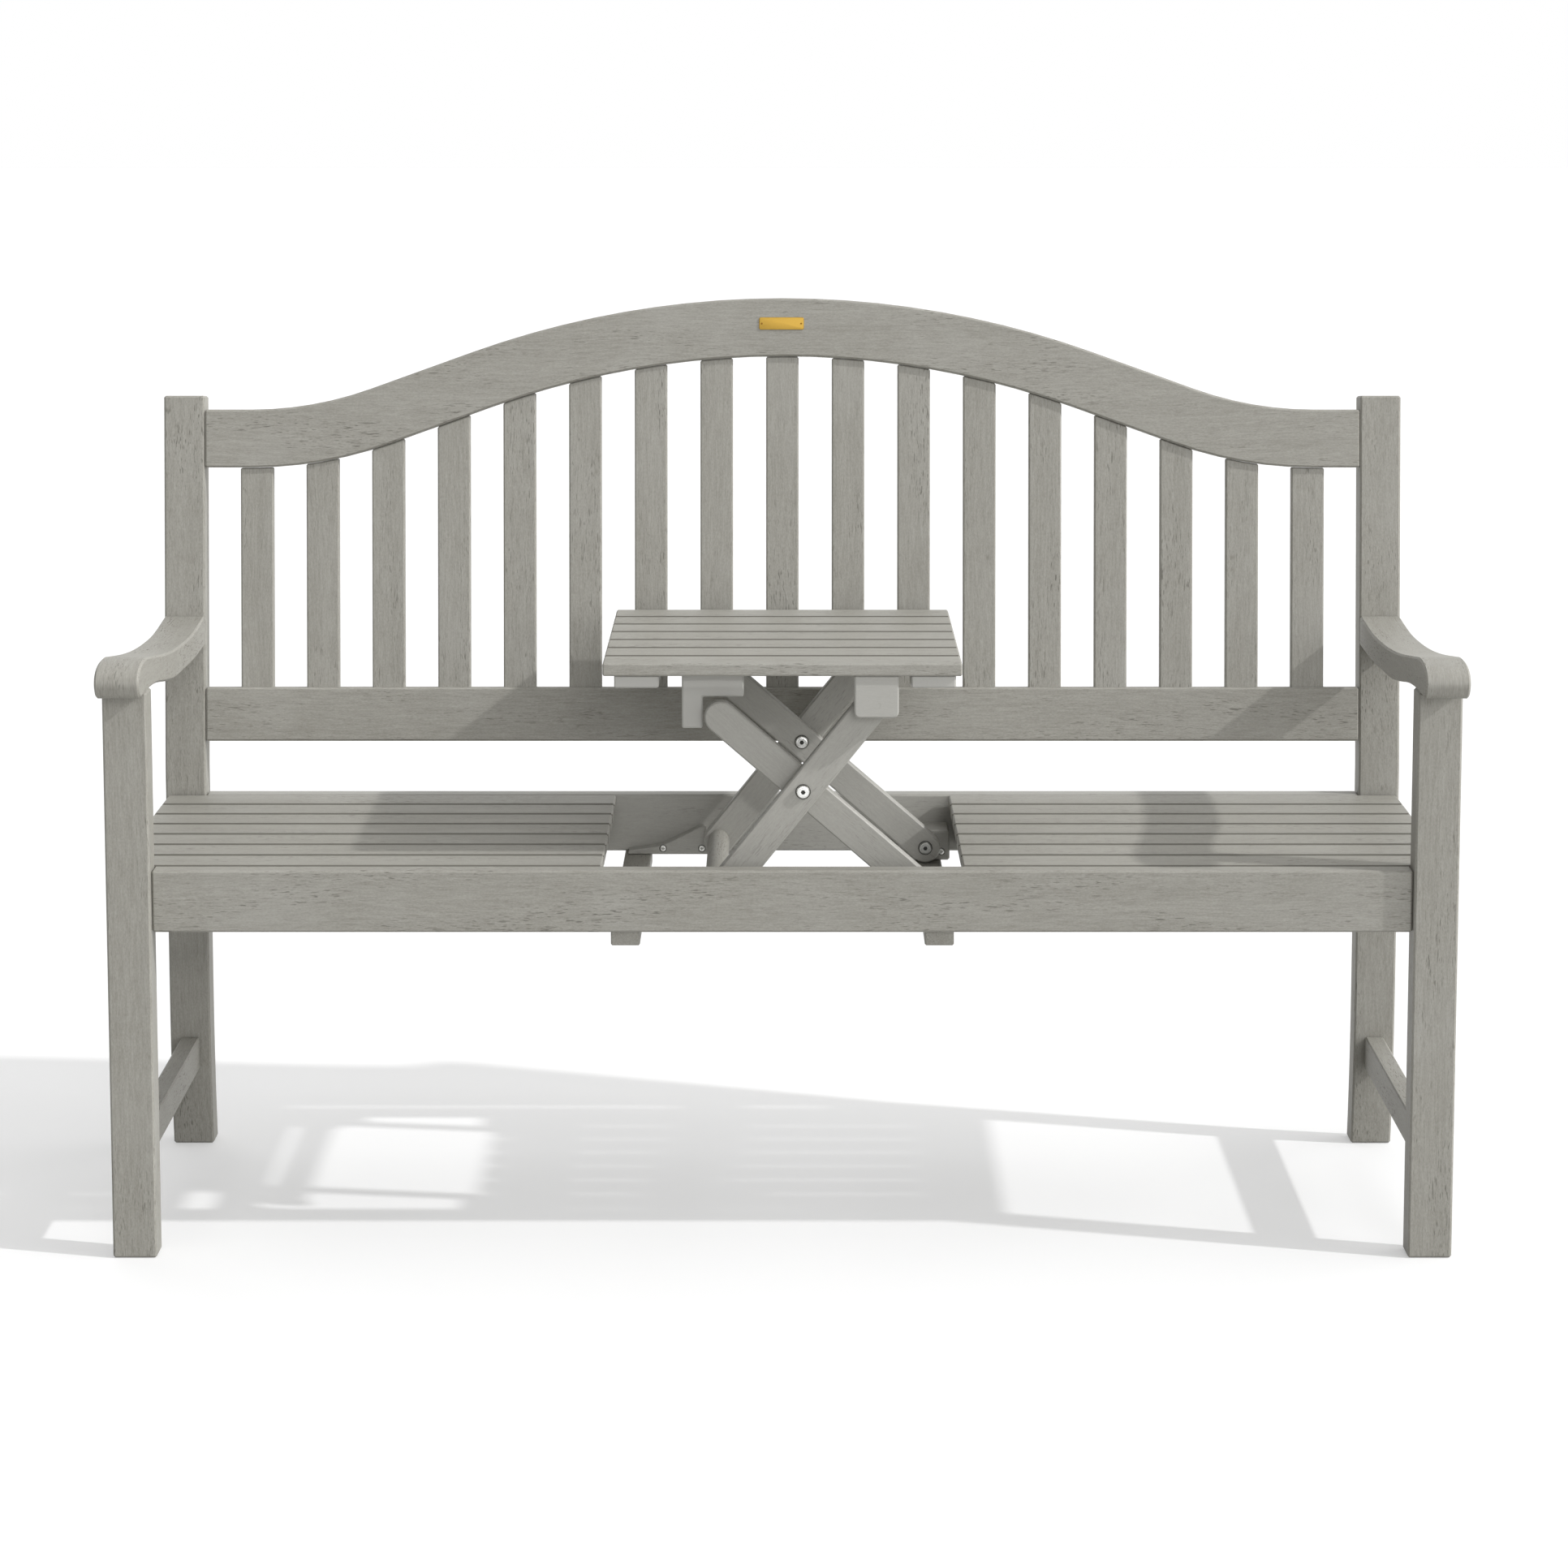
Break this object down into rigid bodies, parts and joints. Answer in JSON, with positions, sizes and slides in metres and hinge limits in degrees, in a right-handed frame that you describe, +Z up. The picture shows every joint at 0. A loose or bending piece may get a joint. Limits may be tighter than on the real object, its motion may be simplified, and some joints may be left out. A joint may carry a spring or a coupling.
{
  "type": "outdoor bench with table",
  "caption": "Slatted wooden garden bench with arms and an arched back, whose middle seat panel rises on a scissor into a small level table",
  "frame": {"origin": "on the ground under the middle of the bench's box", "axes": "+X to the right as seen from the front, +Y from the front rail to the back, +Z up"},
  "size_m": [1.482, 0.5952, 1.0272],
  "materials": {
    "bench_wood": "grey-washed open-grained hardwood, matte",
    "table_wood": "grey-washed open-grained hardwood, matte, a little lighter",
    "steel": "bright steel"
  },
  "bodies": {
    "frame": {"front_leg_left": "bench_wood", "front_leg_right": "bench_wood", "back_leg_left": "bench_wood", "back_leg_right": "bench_wood", "armrest_left": "bench_wood", "armrest_right": "bench_wood", "side_stretcher_left": "bench_wood", "side_stretcher_right": "bench_wood", "side_seat_rail_left": "bench_wood", "side_seat_rail_right": "bench_wood", "front_seat_rail": "bench_wood", "rear_seat_rail": "bench_wood", "crest_rail": "bench_wood", "back_panel": "bench_wood", "seat_slat_left_1": "bench_wood", "seat_slat_left_2": "bench_wood", "seat_slat_left_3": "bench_wood", "seat_slat_left_4": "bench_wood", "seat_slat_left_5": "bench_wood", "seat_slat_left_6": "bench_wood", "seat_slat_left_7": "bench_wood", "seat_slat_right_1": "bench_wood", "seat_slat_right_2": "bench_wood", "seat_slat_right_3": "bench_wood", "seat_slat_right_4": "bench_wood", "seat_slat_right_5": "bench_wood", "seat_slat_right_6": "bench_wood", "seat_slat_right_7": "bench_wood", "seat_bearer_left": "bench_wood", "seat_bearer_right": "bench_wood", "cross_batten_left": "bench_wood", "cross_batten_right": "bench_wood", "cleat_front": "bench_wood", "cleat_rear": "bench_wood", "base_block_front": "bench_wood", "base_block_rear": "bench_wood", "base_bolt_front": "steel", "base_bolt_rear": "steel"},
    "inner_arms": {"inner_arm_front": "bench_wood", "inner_arm_rear": "bench_wood", "centre_bolt_front": "steel", "centre_bolt_rear": "steel"},
    "outer_arms": {"outer_arm_front": "bench_wood", "outer_arm_rear": "bench_wood", "arm_crossbar": "bench_wood"},
    "table": {"table_slat_1": "table_wood", "table_slat_2": "table_wood", "table_slat_3": "table_wood", "table_slat_4": "table_wood", "table_slat_5": "table_wood", "table_slat_6": "table_wood", "table_slat_7": "table_wood", "table_batten_left": "table_wood", "table_batten_right": "table_wood", "table_block_front": "table_wood", "table_block_rear": "table_wood", "table_rest_front": "table_wood", "table_rest_rear": "table_wood", "table_bolt_front": "steel", "table_bolt_rear": "steel"}
  },
  "joints": [
    {"name": "table_fold", "type": "hinge", "parent": "frame", "child": "inner_arms", "pos_m": [0.1694, -0.00088, 0.3845], "axis": [0, -1, 0], "range_deg": [0, 40.5]},
    {"name": "arms_cross", "type": "hinge", "parent": "inner_arms", "child": "outer_arms", "pos_m": [0.02299, -0.00088, 0.51178], "axis": [0, 1, 0], "range_deg": [0, 91.31]},
    {"name": "table_pivot", "type": "hinge", "parent": "outer_arms", "child": "table", "pos_m": [0.10364, -0.00088, 0.61245], "axis": [0, -1, 0], "range_deg": [0, 50.81]}
  ],
  "couplings": [
    {"joint": "arms_cross", "follows": "table_fold", "ratio": 2.2543},
    {"joint": "table_pivot", "follows": "table_fold", "ratio": 1.2543}
  ]
}
